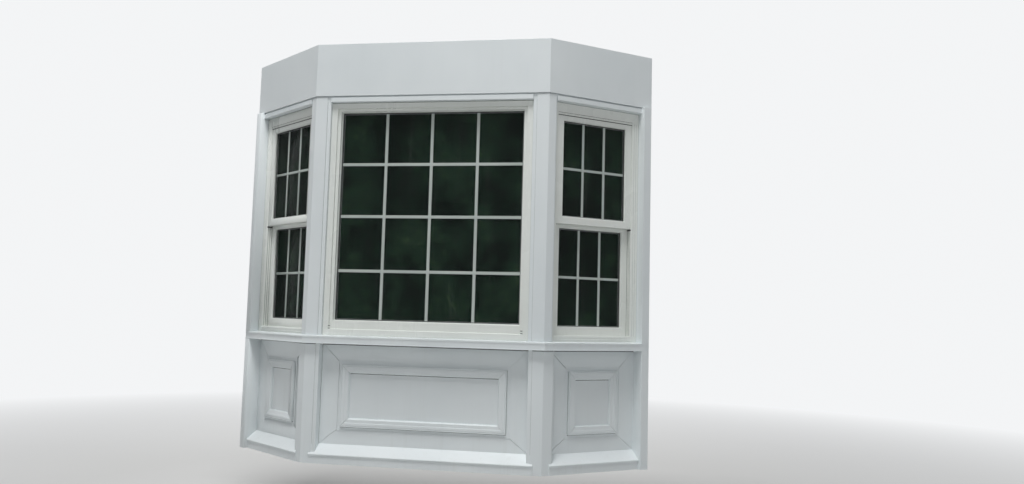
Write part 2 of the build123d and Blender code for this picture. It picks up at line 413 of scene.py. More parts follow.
def floorMaterial():
    # pale matt floor that turns to the backdrop's colour far out
    material, where = startMaterial("pale floor")
    tree = material.node_tree
    tint = where.blend(where.noise((0.7, 0.7, 0.7), 3) * 0.1,
                       studio["floorColour"], studio["backdropColour"])
    finishMaterial(material, tint, studio["floorRough"], gloss=studio["floorGloss"])
    matt = Shade(tree, tree.nodes["Principled BSDF"].outputs[0])
    far = where.make("ShaderNodeVectorMath", {"operation": "LENGTH"}, {0: where}, "Value")
    glow = where.make("ShaderNodeEmission", None,
                      {"Color": studio["backdropColour"], "Strength": 1.0})
    amount = far.between(*studio["fade"]) * seenDirectly(where)
    both = where.make("ShaderNodeMixShader", None, {0: amount, 1: matt, 2: glow})
    tree.links.new(both.socket, tree.nodes["Material Output"].inputs["Surface"])
    return material


def layFloor():
    bpy.ops.mesh.primitive_plane_add(size=studio["floorSize"], location=(0, 0, studio["floorHeight"]))
    floor = bpy.context.object
    floor.name = "floor"
    floor.data.materials.append(floorMaterial())


def paintSky():
    world = bpy.data.worlds.new("plain sky")
    bpy.context.scene.world = world
    world.use_nodes = True
    world.node_tree.nodes.clear()
    sky = Shade(world.node_tree)
    lit = sky.make("ShaderNodeBackground", None,
                   {"Color": studio["skyColour"], "Strength": studio["skyLight"]})
    shown = sky.make("ShaderNodeBackground", None,
                     {"Color": studio["backdropColour"], "Strength": 1.0})
    both = sky.make("ShaderNodeMixShader", None, {0: seenDirectly(sky), 1: lit, 2: shown})
    sky.make("ShaderNodeOutputWorld", None, {"Surface": both})


lightStudio()
placeCamera()
layFloor()
paintSky()
bpy.context.scene.view_settings.view_transform = "Standard"
print("Stage, light and camera set")

# Sizes that the makers of pieces share.
making = {
    "merge": 0.00002,                 # CAD corners closer than this are one
    "flat": math.radians(0.8),        # CAD faces that turn less than this are one
    "smooth": math.radians(50),       # sharper edges stay sharp in the shading
    "weight": 60,
    "bevelFrom": 28,                  # degrees; sharper edges are rounded
}


def deselect():
    if bpy.context.object and bpy.context.object.mode != "OBJECT":
        bpy.ops.object.mode_set(mode="OBJECT")
    bpy.ops.object.select_all(action="DESELECT")


def pick(piece):
    deselect()
    piece.select_set(True)
    bpy.context.view_layer.objects.active = piece


def edit(piece):
    pick(piece)
    bpy.ops.object.mode_set(mode="EDIT")
    bpy.ops.mesh.select_mode(type="FACE")
    bpy.ops.mesh.select_all(action="SELECT")


def doneEditing():
    bpy.ops.object.mode_set(mode="OBJECT")


def named(piece, name):
    piece.name = piece.data.name = name
    return piece


def applyPlace():
    # the newest primitive, with its place, turn and scale in its mesh
    bpy.ops.object.transform_apply(location=True, rotation=True, scale=True)
    return bpy.context.object


def applyModifier(piece, kind, settings):
    pick(piece)
    modifier = piece.modifiers.new(kind.lower(), kind)
    for name, value in settings.items():
        setattr(modifier, name, value)
    bpy.ops.object.modifier_apply(modifier=modifier.name)


def smoothRounds(piece):
    # rounds look smooth, and flats stay flat
    pick(piece)
    bpy.ops.object.shade_smooth_by_angle(angle=making["smooth"])
    applyModifier(piece, "WEIGHTED_NORMAL", {"keep_sharp": True, "weight": making["weight"]})


def easeEdges(piece, edge, segments=2, angle=making["bevelFrom"]):
    applyModifier(piece, "BEVEL", {"width": edge, "segments": segments, "limit_method": "ANGLE",
                                   "angle_limit": math.radians(angle), "use_clamp_overlap": True})
    smoothRounds(piece)


def copyOf(source, name):
    other = bpy.data.objects.new(name, source.data.copy())
    bpy.context.scene.collection.objects.link(other)
    return other


def nodeCopy(nodeName, pieceName):
    # a merged copy of a CAD node, with its flat faces whole again
    piece = copyOf(nodes[nodeName], pieceName)
    edit(piece)
    bpy.ops.mesh.customdata_custom_splitnormals_clear()
    bpy.ops.mesh.remove_doubles(threshold=making["merge"])
    bpy.ops.mesh.dissolve_limited(angle_limit=making["flat"])
    doneEditing()
    return piece


def joinPieces(pieces, name):
    deselect()
    for piece in pieces:
        piece.select_set(True)
    bpy.context.view_layer.objects.active = pieces[0]
    if len(pieces) > 1:
        bpy.ops.object.join()
    return named(bpy.context.object, name)


def settle(piece, matrix):
    # the place goes into the mesh, and the object stays at the origin
    piece.data.transform(matrix @ piece.matrix_world)
    piece.matrix_world = Matrix.Identity(4)
    return piece


def mirror(piece):
    settle(piece, toLeft)
    edit(piece)
    bpy.ops.mesh.flip_normals()
    doneEditing()
    return piece


def twin(piece, name):
    # the same piece on the other side of the bay
    return mirror(copyOf(piece, name))


def hand(piece, finish, slotName=None, replaced=()):
    # gives a finished piece its material and body, and hides the nodes that it stands for
    piece.data.materials.clear()
    piece.data.materials.append(finishes[finish])
    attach(piece, "root")
    if replaced:
        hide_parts(*replaced)


def onBoth(piece, name, finish, slotName=None, replaced=None, ending=""):
    # a flank piece named for the right side, and its twin on the left
    named(piece, name + "_right" + ending)
    other = twin(piece, name + "_left" + ending)
    hand(piece, finish, slotName, [replaced + "_right"] if replaced else ())
    hand(other, finish, slotName, [replaced + "_left"] if replaced else ())


def onSide(side, piece, name, finish, slotName=None, replaced=None, ending=""):
    # a piece of the front, or one of the right flank with its twin
    if side == "right":
        onBoth(piece, name, finish, slotName, replaced, ending)
    else:
        named(piece, name + "_front" + ending)
        hand(piece, finish, slotName, [replaced + "_front"] if replaced else ())


def squareBar(low, high, edge, segments=2):
    # a bar between two corners, its edges rounded, or cut at 45 degrees with one segment
    size = [b - a for a, b in zip(low, high)]
    middle = [(a + b) / 2 for a, b in zip(low, high)]
    bpy.ops.mesh.primitive_cube_add(size=1, location=middle, scale=size)
    bar = applyPlace()
    edit(bar)
    bpy.ops.mesh.bevel(offset=edge, segments=segments, affect="EDGES")
    doneEditing()
    smoothRounds(bar)
    return bar


def block(origin, low, high, edge, segments=2):
    # the same bar, with its corners given from a point
    return squareBar([o + a for o, a in zip(origin, low)],
                     [o + b for o, b in zip(origin, high)], edge, segments)


thin = {"edge": 0.0002, "sunk": 0.0004}


def thinLine(x0, x1, z0, z1, depth, proud, sunk=thin["sunk"]):
    # a line along a joint or under an edge, a little proud of the face that lies at that depth; it paints the
    # shadow there
    return squareBar((x0, depth - proud, z0), (x1, depth + sunk, z1), thin["edge"], 1)


def copies(piece, places):
    # copies with their own meshes, moved by each place
    made = []
    for place in places:
        other = copyOf(piece, piece.name)
        other.data.transform(Matrix.Translation(place))
        made.append(other)
    return made


def grown(outline, by):
    # an outline is x0, x1, z0, z1
    x0, x1, z0, z1 = outline
    return x0 - by, x1 + by, z0 - by, z1 + by


def profiledFrame(outline, front, steps, back):
    # a mitred frame with a stepped face and a flat back; it starts as a plane that is inset,
    # and each step goes across and in
    x0, x1, z0, z1 = outline
    bpy.ops.mesh.primitive_plane_add(size=1, location=((x0 + x1) / 2, front, (z0 + z1) / 2),
                                     rotation=(math.pi / 2, 0, 0))
    bpy.context.object.scale = (x1 - x0, z1 - z0, 1)
    ring = applyPlace()
    edit(ring)
    for across, inward in steps:
        bpy.ops.mesh.inset(thickness=across, depth=0)
        bpy.ops.transform.translate(value=(0, inward, 0))
    bpy.ops.mesh.delete(type="FACE")
    bpy.ops.mesh.select_all(action="SELECT")
    bpy.ops.mesh.extrude_region_move(TRANSFORM_OT_translate={"value": (0, back - front, 0)})
    bpy.ops.transform.resize(value=(1, 0, 1), center_override=(x0, back, z0))
    bpy.ops.mesh.select_all(action="SELECT")
    bpy.ops.mesh.normals_make_consistent(inside=False)
    doneEditing()
    return ring


def ringFrame(outline, width, front, back, slope, edge):
    ring = profiledFrame(outline, front, ((width, slope),), back)
    easeEdges(ring, edge)
    return ring


def cutAway(piece, point, normal):
    # takes away what lies beyond a plane and closes the cut
    edit(piece)
    bpy.ops.mesh.bisect(plane_co=point, plane_no=normal, use_fill=True, clear_outer=True)
    doneEditing()


def cornersOf(outline):
    x0, x1, z0, z1 = outline
    return [Vector((x0, 0, z0)), Vector((x1, 0, z0)), Vector((x1, 0, z1)), Vector((x0, 0, z1))]


def mitredMembers(blank, pieceName, place, outer, inner, edge, joint=0.0):
    # a blank cut into four boards that meet in mitres, with eased edges and a thin open joint
    outside, inside = cornersOf(outer), cornersOf(inner)
    middle = sum(outside, Vector()) / 4
    turn = place.to_3x3()
    members = []
    for a, b in ((0, 1), (1, 2), (2, 3), (3, 0)):
        member = copyOf(blank, "member")
        for here, there in ((a, b), (b, a)):
            along = inside[here] - outside[here]
            normal = along.cross(Vector((0, 1, 0))).normalized()
            if normal.dot(outside[there] - outside[here]) > 0:
                normal = -normal
            cutAway(member, place @ (outside[here] - normal * joint), turn @ normal)
        away = middle - (outside[a] + outside[b]) / 2
        cutAway(member, place @ middle, turn @ away.normalized())
        easeEdges(member, edge)
        members.append(member)
    bpy.data.objects.remove(blank)
    return joinPieces(members, pieceName)


# The header is one folded sheet over three boards, so its mitres close up.
header = {
    "edge": 0.0012,
    "boards": ["header_front", "header_left", "header_right"],
    "onFold": 0.0002,         # a face nearer to the fold's plane than this lies in it
    "parallel": 0.9999,       # least cosine between the normals of two parallel faces
    "close": 0.00005,         # edges nearer than this become one fold
}


def foldHeader():
    boards = [nodeCopy(name, name + "_board") for name in header["boards"]]
    sheet = joinPieces(boards, "header_sheet")
    half = bay["flankAngle"] / 2
    edit(sheet)
    bpy.ops.mesh.select_all(action="DESELECT")
    doneEditing()
    for face in sheet.data.polygons:
        for side in (1, -1):
            normal = Vector((math.cos(half) * side, math.sin(half), 0))
            fold = Vector((bay["halfFront"] * side, -bay["projection"], 0))
            parallel = abs(face.normal.dot(normal)) > header["parallel"]
            if parallel and abs((face.center - fold).dot(normal)) < header["onFold"]:
                face.select = True
    bpy.ops.object.mode_set(mode="EDIT")
    bpy.ops.mesh.delete(type="FACE")
    bpy.ops.mesh.select_all(action="SELECT")
    bpy.ops.mesh.remove_doubles(threshold=header["close"])
    bpy.ops.mesh.dissolve_limited(angle_limit=making["flat"])
    doneEditing()
    easeEdges(sheet, header["edge"])
    hand(sheet, "sheet", "white_trim", header["boards"])


foldHeader()

# Trim that keeps the node's shape and gets bent-sheet edges: sides and edge of each kind.
sheetTrim = {
    "head_trim": (("front", "left", "right"), 0.0008),
    "upper_post": (("left", "right"), 0.0016),
    "lower_post": (("left", "right"), 0.0016),
    "apron_field": (("front", "left", "right"), 0.0005),
    "apron_ledge": (("front", "left", "right"), 0.0014),
}
for kind, (sides, edge) in sheetTrim.items():
    for side in sides:
        name = kind + "_" + side
        piece = nodeCopy(name, name + "_sheet")
        easeEdges(piece, edge)
        hand(piece, "sheet", "white_trim", [name])
print("Header and trim made")

# The sill's face has a shallow band sunk between its top and a narrow lip at its foot.
sillBand = {
    "low": 0.0755,
    "high": 0.1035,
    "front": -0.026,
    "clear": 0.01,            # how far the cutter stands out in front
    "deep": 0.0020,
    "edge": 0.0009,
}


def sinkBand(side, place, ends):
    sill = nodeCopy("sill_" + side, "sill")
    front = sillBand["front"]
    cutter = squareBar((ends[0], front - sillBand["clear"], sillBand["low"]),
                       (ends[1], front + sillBand["deep"], sillBand["high"]), thin["edge"], 1)
    settle(cutter, place)
    applyModifier(sill, "BOOLEAN", {"operation": "DIFFERENCE", "object": cutter, "solver": "EXACT"})
    bpy.data.objects.remove(cutter)
    easeEdges(sill, sillBand["edge"])
    onSide(side, sill, "sill", "sheet", "white_trim", "sill", "_sheet")


sinkBand("front", onFront, (-0.9, 0.9))
sinkBand("right", onRight, (-0.2, 0.9))
print("Sills made")

# The jambs' back corner is cut away for the bead of sealant behind them.
jamb = {
    "edge": 0.0012,
    "corner": 0.0085,         # leg of the corner that is cut away
    "foot": 0.0048,           # how far the upper jamb runs down to the sill's sloped top
    "bead": 0.0050,           # radius of the bead
    "inset": 0.0056,          # bead's middle from the jamb's side and back
    "short": 0.001,           # how far the bead stops short of the jamb's ends
    "step": 0.018,            # length of each squeeze of the bead
    "wobble": 0.0005,
    "thinnest": 0.80,         # against the bead's full radius
    "sides": 9,
    "smooth": math.radians(60),
    "level": 0.0001,          # corners nearer than this to the jamb's foot move down with it
    "seeds": {"right": 5, "left": 8},
}


def runBead(low, high, seed):
    # a bead squeezed out by hand: each step of the extrusion wanders and swells a little
    draw = random.Random(seed)
    steps = round((high - low) / jamb["step"])
    rise = (high - low) / steps
    start = Vector((bay["halfWidth"] - jamb["inset"], -jamb["inset"], low))
    bpy.ops.mesh.primitive_circle_add(vertices=jamb["sides"], radius=jamb["bead"],
                                      fill_type="NGON", location=start)
    bead = applyPlace()
    edit(bead)
    middle, swell = start.copy(), 1.0
    for step in range(steps):
        aim = start + Vector((draw.uniform(-1, 0), draw.uniform(-1, 0), 0)) * jamb["wobble"]
        shift = Vector((aim.x - middle.x, aim.y - middle.y, rise))
        bpy.ops.mesh.extrude_region_move(TRANSFORM_OT_translate={"value": shift})
        middle += shift
        target = draw.uniform(jamb["thinnest"], 1.0)
        bpy.ops.transform.resize(value=(target / swell, target / swell, 1), center_override=middle)
        swell = target
    bpy.ops.mesh.select_all(action="SELECT")
    bpy.ops.mesh.normals_make_consistent(inside=False)
    doneEditing()
    pick(bead)
    bpy.ops.object.shade_smooth_by_angle(angle=jamb["smooth"])
    return bead


def finishJambs(level):
    low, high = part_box(level + "_jamb_right")
    board = nodeCopy(level + "_jamb_right", "board")
    cutAway(board, Vector((bay["halfWidth"] - jamb["corner"], 0, 0)), (1, 1, 0))
    if level == "upper":
        for point in board.data.vertices:
            if point.co.z < low.z + jamb["level"]:
                point.co.z -= jamb["foot"]
    easeEdges(board, jamb["edge"])
    onBoth(board, level + "_jamb", "sheet", "white_trim", level + "_jamb", "_sheet")
    for side, seed in jamb["seeds"].items():
        bead = runBead(low.z + jamb["short"], high.z - jamb["short"], seed)
        if side == "left":
            mirror(bead)
        bead.name = level + "_wall_bead_" + side
        hand(bead, "sealant")


finishJambs("upper")
finishJambs("lower")
print("Jambs and their beads made")

apron = {
    "edge": 0.0011,
    "front": {"ridge": (-0.471, 0.471, -0.391, -0.046), "inner": (-0.423, 0.423, -0.343, -0.094),
              "board": (-0.592, 0.592, -0.488, 0.070), "opening": (-0.488, 0.488, -0.408, -0.029)},
    "flank": {"ridge": (0.187, 0.5046, -0.391, -0.046), "inner": (0.235, 0.4566, -0.343, -0.094),
              "board": (0.066, 0.6216, -0.488, 0.070), "opening": (0.170, 0.5216, -0.408, -0.029)},
    "crest": 0.041,           # moulding's front, in from the face's plane
    "field": 0.060,
    # across and in, from the moulding's outer edge: a bead, a groove, two flats and the inner slope
    "profile": ((0.0045, 0), (0.0008, 0.0028), (0.0026, 0), (0.0008, -0.0028), (0.0138, 0),
                (0.0010, 0.0024), (0.0185, 0), (0.0060, 0.0106)),
    "profileEdge": 0.0003,
    "joint": 0.0007,
    "lip": {"width": 0.0045, "front": 0.0502, "back": 0.054},
    # the strip that closes the gap round the moulding, and how far it runs under its neighbours
    "infill": {"front": 0.0533, "lap": 0.0004, "sunk": 0.0002, "edge": 0.0002},
    # heights of the dark lines of painted shadow on the field and under the moulding, and width of those
    # beside it
    "lines": {"top": 0.0034, "foot": 0.0036, "side": 0.0018, "proud": 0.0005},
}


def boardApron(side, sizes, place):
    # the moulding, and the surround with a lip round its opening, in mitred boards
    moulding = profiledFrame(sizes["ridge"], apron["crest"], apron["profile"], apron["field"])
    lip = apron["lip"]
    edging = profiledFrame(grown(sizes["opening"], lip["width"]), lip["front"],
                           ((lip["width"], 0),), lip["back"])
    surround = joinPieces([nodeCopy("apron_surround_" + side, "surround"), settle(edging, place)], "surround")
    for part, blank, outer, inner, edge in (
            ("moulding", settle(moulding, place), "ridge", "inner", apron["profileEdge"]),
            ("surround", surround, "board", "opening", apron["edge"])):
        name = "apron_" + part
        boards = mitredMembers(blank, name, place, sizes[outer], sizes[inner], edge, apron["joint"])
        onSide(side, boards, name, "sheet", "white_trim", name, "_boards")


def closeRoundMoulding(side, sizes, place):
    # a strip between surround and moulding, and dark lines of painted shadow where the moulding meets its
    # neighbours
    infill, line = apron["infill"], apron["lines"]
    gap = sizes["ridge"][0] - sizes["opening"][0]
    strip = ringFrame(sizes["opening"], gap + infill["lap"], infill["front"],
                      apron["field"] + infill["sunk"], 0, infill["edge"])
    x0, x1, z0, z1 = sizes["inner"]
    # painted shadow on the field under the top member, and under the moulding's foot
    dark = [thinLine(x0, x1, z1 - line["top"], z1, apron["field"], line["proud"])]
    x0, x1, z0, z1 = sizes["ridge"]
    dark.append(thinLine(x0, x1, z0 - line["foot"], z0, infill["front"], line["proud"]))
    # painted shadow beside the moulding
    pale = [thinLine(x, x + line["side"], z0, z1, infill["front"], line["proud"])
            for x in (x0 - line["side"], x1)]
    for name, piece, finish, slotName in (
            ("panel_infill", strip, "sheet", "white_trim"),
            ("panel_shadow_lines", joinPieces(dark, "gaps"), "gasketAndShadow", None),
            ("panel_side_shadows", joinPieces(pale, "seams"), "fillerAndShadow", None)):
        onSide(side, settle(piece, place), name, finish, slotName)


for side, sizes, place in (("front", apron["front"], onFront), ("right", apron["flank"], onRight)):
    boardApron(side, sizes, place)
    closeRoundMoulding(side, sizes, place)
print("Apron panels made")

# The make-up of every pane: depths behind the outer sheet's front. The bars stand in the gap
# between the two sheets, and a black seal with a metal spacer inside it runs round the gap.
pane = {
    "bars": {"front": 0.0070, "back": 0.0110, "edge": 0.0008, "lower": 0.0003,
             "clip": 0.003, "clipProud": 0.0004},
    "seal": {"front": 0.0062, "edge": 0.0004},
    "spacer": {"front": 0.0080, "width": 0.0026, "edge": 0.0003, "under": 0.0006},
    "inner": {"front": 0.0120, "back": 0.0150, "edge": 0.0003},
    "lap": 0.0004,            # how far the seal and the inner sheet run into the frame
    "beadEdge": 0.0008,
    "beadSunk": 0.001,
}


def paneBars(opening, columns, rows, glassFront, width):
    # flat bars, the level ones a hair lower, with a small square clip at each crossing
    x0, x1, z0, z1 = opening
    size = pane["bars"]
    half, clipHalf = width / 2, (width + size["clip"]) / 2
    front, back = glassFront + size["front"], glassFront + size["back"]
    clipFront = front - size["clipProud"]
    upright = squareBar((-half, front, z0), (half, back, z1), size["edge"])
    level = squareBar((x0, front + size["lower"], -half), (x1, back, half), size["edge"])
    clip = squareBar((-clipHalf, clipFront, -clipHalf), (clipHalf, back, clipHalf), size["edge"], 1)
    made = copies(upright, [(x, 0, 0) for x in columns])
    made += copies(level, [(0, 0, z) for z in rows])
    made += copies(clip, [(x, 0, z) for x in columns for z in rows])
    for pattern in (upright, level, clip):
        bpy.data.objects.remove(pattern)
    return joinPieces(made, "bars")


def glazingBead(opening, glassFront, size):
    # sloped bead that holds the pane, round the inside of the opening
    return ringFrame(opening, size["width"], size["front"], glassFront + pane["beadSunk"],
                     size["slope"], pane["beadEdge"])


def paneRings(opening, sealWidth, glassFront):
    seal, spacer = pane["seal"], pane["spacer"]
    back = glassFront + pane["inner"]["front"]
    black = ringFrame(grown(opening, pane["lap"]), sealWidth, glassFront + seal["front"],
                      back, 0, seal["edge"])
    metal = ringFrame(grown(opening, spacer["under"] - sealWidth), spacer["width"],
                      glassFront + spacer["front"], back, 0, spacer["edge"])
    return black, metal


def innerSheet(opening, glassFront):
    x0, x1, z0, z1 = grown(opening, pane["lap"])
    size = pane["inner"]
    return squareBar((x0, glassFront + size["front"], z0), (x1, glassFront + size["back"], z1),
                     size["edge"], 1)


def paneParts(opening, glassFront, bead, window, rows):
    # what fills an opening besides its outer sheet, one piece at a time
    yield "bead", glazingBead(opening, glassFront, bead), "vinyl", "window_vinyl"
    black, metal = paneRings(opening, window["seal"], glassFront)
    yield "seal", black, "gasketAndShadow", None
    yield "spacer", metal, "spacer", None
    yield "inner_sheet", innerSheet(opening, glassFront), "innerGlass", "window_glass"
    clear = grown(opening, -bead["width"])
    yield "bars", paneBars(clear, window["columns"], rows, glassFront, window["barWidth"]), "bars", None


picture = {
    "frame": (-0.587, 0.587, 0.117, 1.448),
    "opening": (-0.534, 0.534, 0.200, 1.398),
    "face": 0.020,            # frame's front, in from the bay's front plane
    "glass": 0.062,
    "edge": 0.0014,
    "bead": {"width": 0.0035, "front": 0.050, "slope": 0.002},
    "seal": 0.0085,           # width of the seal, from the opening's edge
    "columns": (-0.267, 0.0, 0.267),
    "rows": (0.483, 0.795, 1.096),
    "barWidth": 0.0168,
    "weeps": ((-0.548, 0.157), (-0.548, 0.171), (0.548, 0.157), (0.548, 0.171)),
}
# A small hood over a drain slot: low corner, high corner, edge and segments of each. The slot is a black
# block, painted shade in the drain opening.
weep = {
    "hood": ((-0.008, -0.0022, 0.001), (0.008, 0.001, 0.004), 0.0008, 2),
    "slot": ((-0.006, -0.0004, -0.003), (0.006, 0.001, 0.0015), 0.0003, 1),
}


def glazePicture():
    opening, glassFront = picture["opening"], picture["glass"]
    members = mitredMembers(nodeCopy("picture_frame", "blank"), "picture_frame_members", onFront,
                            picture["frame"], opening, picture["edge"])
    hand(members, "vinyl", "window_vinyl", ["picture_frame"])
    parts = paneParts(opening, glassFront, picture["bead"], picture, picture["rows"])
    for part, piece, finish, slotName in parts:
        hand(settle(named(piece, "picture_" + part), onFront), finish, slotName)
    places = [(x, picture["face"], z) for x, z in picture["weeps"]]
    # the black slots paint the shade inside the drain openings
    for part, finish, slotName in (("hood", "vinyl", "window_vinyl"), ("slot", "gasketAndShadow", None)):
        blocks = [block(place, *weep[part]) for place in places]
        hand(settle(joinPieces(blocks, "picture_weep_" + part + "s"), onFront), finish, slotName)


glazePicture()
print("Picture window glazed")

sash = {
    "frame": (0.052, 0.6216, 0.117, 1.448),
    "opening": (0.077, 0.5776, 0.150, 1.384),
    "frameEdge": 0.0006,
    "edge": 0.0012,
    "columns": (0.257, 0.397),
    "barWidth": 0.0138,
    "bead": {"width": 0.003, "slope": 0.002},
    "beadProud": 0.008,       # bead's front before the glass
    "seal": 0.0070,
    "upper": {"outline": (0.078, 0.5766, 0.767, 1.384), "glass": (0.117, 0.5376, 0.807, 1.350),
              "rows": (1.080,), "pane": 0.047},
    "lower": {"outline": (0.078, 0.5766, 0.150, 0.788), "glass": (0.117, 0.5376, 0.197, 0.748),
              "rows": (0.473,), "pane": 0.077},
}


def glazeSash(which):
    size = sash[which]
    opening, glassFront = size["glass"], size["pane"]
    blank = nodeCopy(which + "_sash_right", "blank")
    members = mitredMembers(blank, "sash", onRight, size["outline"], opening, sash["edge"])
    onBoth(members, which + "_sash_members", "vinyl", "window_vinyl", which + "_sash")
    bead = dict(sash["bead"], front=glassFront - sash["beadProud"])
    for part, piece, finish, slotName in paneParts(opening, glassFront, bead, sash, size["rows"]):
        name = which + ("_" if part == "inner_sheet" else "_sash_") + part
        onBoth(settle(piece, onRight), name, finish, slotName)


flankFrame = mitredMembers(nodeCopy("window_frame_right", "blank"), "window_frame", onRight,
                           sash["frame"], sash["opening"], sash["frameEdge"])
onBoth(flankFrame, "window_frame_members", "vinyl", "window_vinyl", "window_frame")
glazeSash("upper")
glazeSash("lower")
print("Flank windows glazed")

# Tracks on the flank frame's two side reveals, beside the lower sash.
tracks = {
    "heights": (0.152, 0.755),
    # depth from the flank's plane, width and thickness of each bar
    "ribs": [(0.0335, 0.0022, 0.0016), (0.047, 0.0022, 0.0016), (0.0575, 0.0022, 0.0016)],
    "piles": [(0.0400, 0.0026, 0.0008), (0.0520, 0.0026, 0.0008), (0.0646, 0.0018, 0.0024)],
    "ends": [(0.034, 0.032, 0.004)],
    "endHeights": (0.757, 0.765),
    "sunk": 0.0005,
    "edge": 0.0004,
}


def trackPair(bars, heights, name, finish, slotName=None):
    # the same bars on the frame's near and far reveals
    near, far = sash["opening"][:2]
    low, high = heights
    made = []
    for depth, width, thick in bars:
        for x0, x1 in ((near - tracks["sunk"], near + thick), (far - thick, far + tracks["sunk"])):
            made.append(squareBar((x0, depth, low), (x1, depth + width, high), tracks["edge"], 1))
    onBoth(settle(joinPieces(made, name), onRight), name, finish, slotName)


trackPair(tracks["ribs"], tracks["heights"], "track_ribs", "vinyl", "window_vinyl")
trackPair(tracks["piles"], tracks["heights"], "pile_strips", "fillerAndShadow")
trackPair(tracks["ends"], tracks["endHeights"], "track_ends", "gasketAndShadow")

# Fine steps and ribs on the flank frame, with painted shadow lines beside the ribs and dark strips at its
# head.
casing = {
    "face": 0.030,            # frame's front, in from the flank's plane
    # depths of each step, and its heights from the opening's foot or head
    "footSteps": ((0.0286, 0.034, -0.011, -0.006), (0.0286, 0.034, -0.024, -0.019)),
    "headSteps": ((0.0310, 0.0345, -0.0045, 0.001),),
    "stepEdge": 0.0006,
    "ribs": ((0.5880, 0.0020), (0.6010, 0.0030)),    # place and width of each, on the far side
    "ribProud": 0.0012,
    "ribEdge": 0.0005,
    "ribShadow": 0.0014,        # width of the painted shadow line beside each rib
    "lineProud": 0.0005,
    "sunk": 0.001,
    # dark seal strips along the head, which also paint the shadow in the gap over the upper sash
    "headSealAndShadow": ((0.0346, 1.3757, 0.0038), (0.0292, 1.3900, 0.0016)),   # depth, foot and height
    "stripThick": 0.0020,
    "stripEdge": 0.0003,
}


def trimCasing():
    near, far, low, high = sash["opening"]
    face, sunk = casing["face"], casing["sunk"]
    steps = [squareBar((near, front, level + z0), (far, back, level + z1), casing["stepEdge"], 1)
             for level, sizes in ((low, casing["footSteps"]), (high, casing["headSteps"]))
             for front, back, z0, z1 in sizes]
    steps += [squareBar((x, face - casing["ribProud"], low), (x + width, face + sunk, high),
                        casing["ribEdge"], 1) for x, width in casing["ribs"]]
    onBoth(settle(joinPieces(steps, "steps"), onRight), "frame_steps", "vinyl", "window_vinyl")
    # lines that paint the shadow beside each rib
    lines = [thinLine(x + width, x + width + casing["ribShadow"], low, high, face,
                      casing["lineProud"], sunk) for x, width in casing["ribs"]]
    onBoth(settle(joinPieces(lines, "lines"), onRight), "rib_shadow_lines", "fillerAndShadow")
    # a seal at the head, and painted shadow in the gap above the sash
    strips = [squareBar((near, depth, foot), (far, depth + casing["stripThick"], foot + tall),
                        casing["stripEdge"], 1) for depth, foot, tall in casing["headSealAndShadow"]]
    onBoth(settle(joinPieces(strips, "strips"), onRight), "head_seal_and_shadow", "gasketAndShadow")


trimCasing()

# Thin lines in the corners where posts, jambs and window frames meet, which paint the shadow in each joint:
# the places of each line's two sides and the depth of the face that it lies on.
jointShadowLines = {
    "upper": {"heights": (0.1175, 1.4475), "front": ((0.5846, 0.5870, 0.020), (0.6062, 0.6080, 0.005)),
              "flank": ((0.0520, 0.0542, 0.030), (0.0460, 0.0474, 0.005), (0.6202, 0.6216, 0.030))},
    "lower": {"heights": (-0.4850, 0.0695), "front": ((0.5898, 0.5920, 0.052), (0.6124, 0.6140, 0.003)),
              "flank": ((0.0660, 0.0682, 0.052), (0.0600, 0.0614, 0.003))},
    "proud": 0.0009,
}


def shadeJoints(level, side, place, places):
    low, high = jointShadowLines[level]["heights"]
    # each line paints the shadow in its joint
    lines = [thinLine(x0, x1, low, high, depth, jointShadowLines["proud"]) for x0, x1, depth in places]
    onSide(side, settle(joinPieces(lines, "lines"), place), level + "_joint_shadow", "seamAndShadow")


for level in ("upper", "lower"):
    right, flank = jointShadowLines[level]["front"], jointShadowLines[level]["flank"]
    left = [(-x1, -x0, depth) for x0, x1, depth in right]
    shadeJoints(level, "front", onFront, [*right, *left])
    shadeJoints(level, "right", onRight, flank)

# A dark line of painted shadow under the sill: the ends, foot and depth of each piece along a face.
sillShadow = {
    "top": 0.0698,
    "proud": 0.0005,
    "front": ((-0.590, 0.590, 0.0620, 0.052), (-0.676, -0.6145, 0.0650, 0.0), (0.6145, 0.676, 0.0650, 0.0)),
    "flank": ((0.0005, 0.0595, 0.0650, 0.0), (0.067, 0.6210, 0.0620, 0.052)),
}


def shadeUnderSill(side, place, places):
    lines = [thinLine(x0, x1, foot, sillShadow["top"], depth, sillShadow["proud"])
             for x0, x1, foot, depth in places]
    onSide(side, settle(joinPieces(lines, "lines"), place), "sill_shadow_line", "gasketAndShadow")


shadeUnderSill("front", onFront, sillShadow["front"])
shadeUnderSill("right", onRight, sillShadow["flank"])

# White strips that close the head board's underside in front of the frames: ends and back.
headReturn = {
    "front": (-0.587, 0.587, 0.0205),
    "flank": (0.050, 0.6216, 0.0305),
    "start": 0.011,
    "heights": (1.4464, 1.4484),
    "edge": 0.0004,
}
# Lines of painted shadow under those strips, on the frames' heads: ends and depth.
headShadowLine = {
    "front": (-0.5845, 0.5845, 0.020),
    "flank": (0.0545, 0.6200, 0.030),
    "heights": (1.4428, 1.4466),
    "proud": 0.0006,
}


def closeHead(side, place, x0, x1, back):
    low, high = headReturn["heights"]
    strip = squareBar((x0, headReturn["start"], low), (x1, back, high), headReturn["edge"], 1)
    onSide(side, settle(strip, place), "head_return", "sheet", "white_trim")


def shadeUnderHead(side, place, finish, x0, x1, depth):
    line = thinLine(x0, x1, *headShadowLine["heights"], depth, headShadowLine["proud"])
    onSide(side, settle(line, place), "head_shadow_line", finish)


closeHead("front", onFront, *headReturn["front"])
closeHead("right", onRight, *headReturn["flank"])
shadeUnderHead("front", onFront, "fillerAndShadow", *headShadowLine["front"])
shadeUnderHead("right", onRight, "seamAndShadow", *headShadowLine["flank"])
print("Tracks and joint shadow lines made")

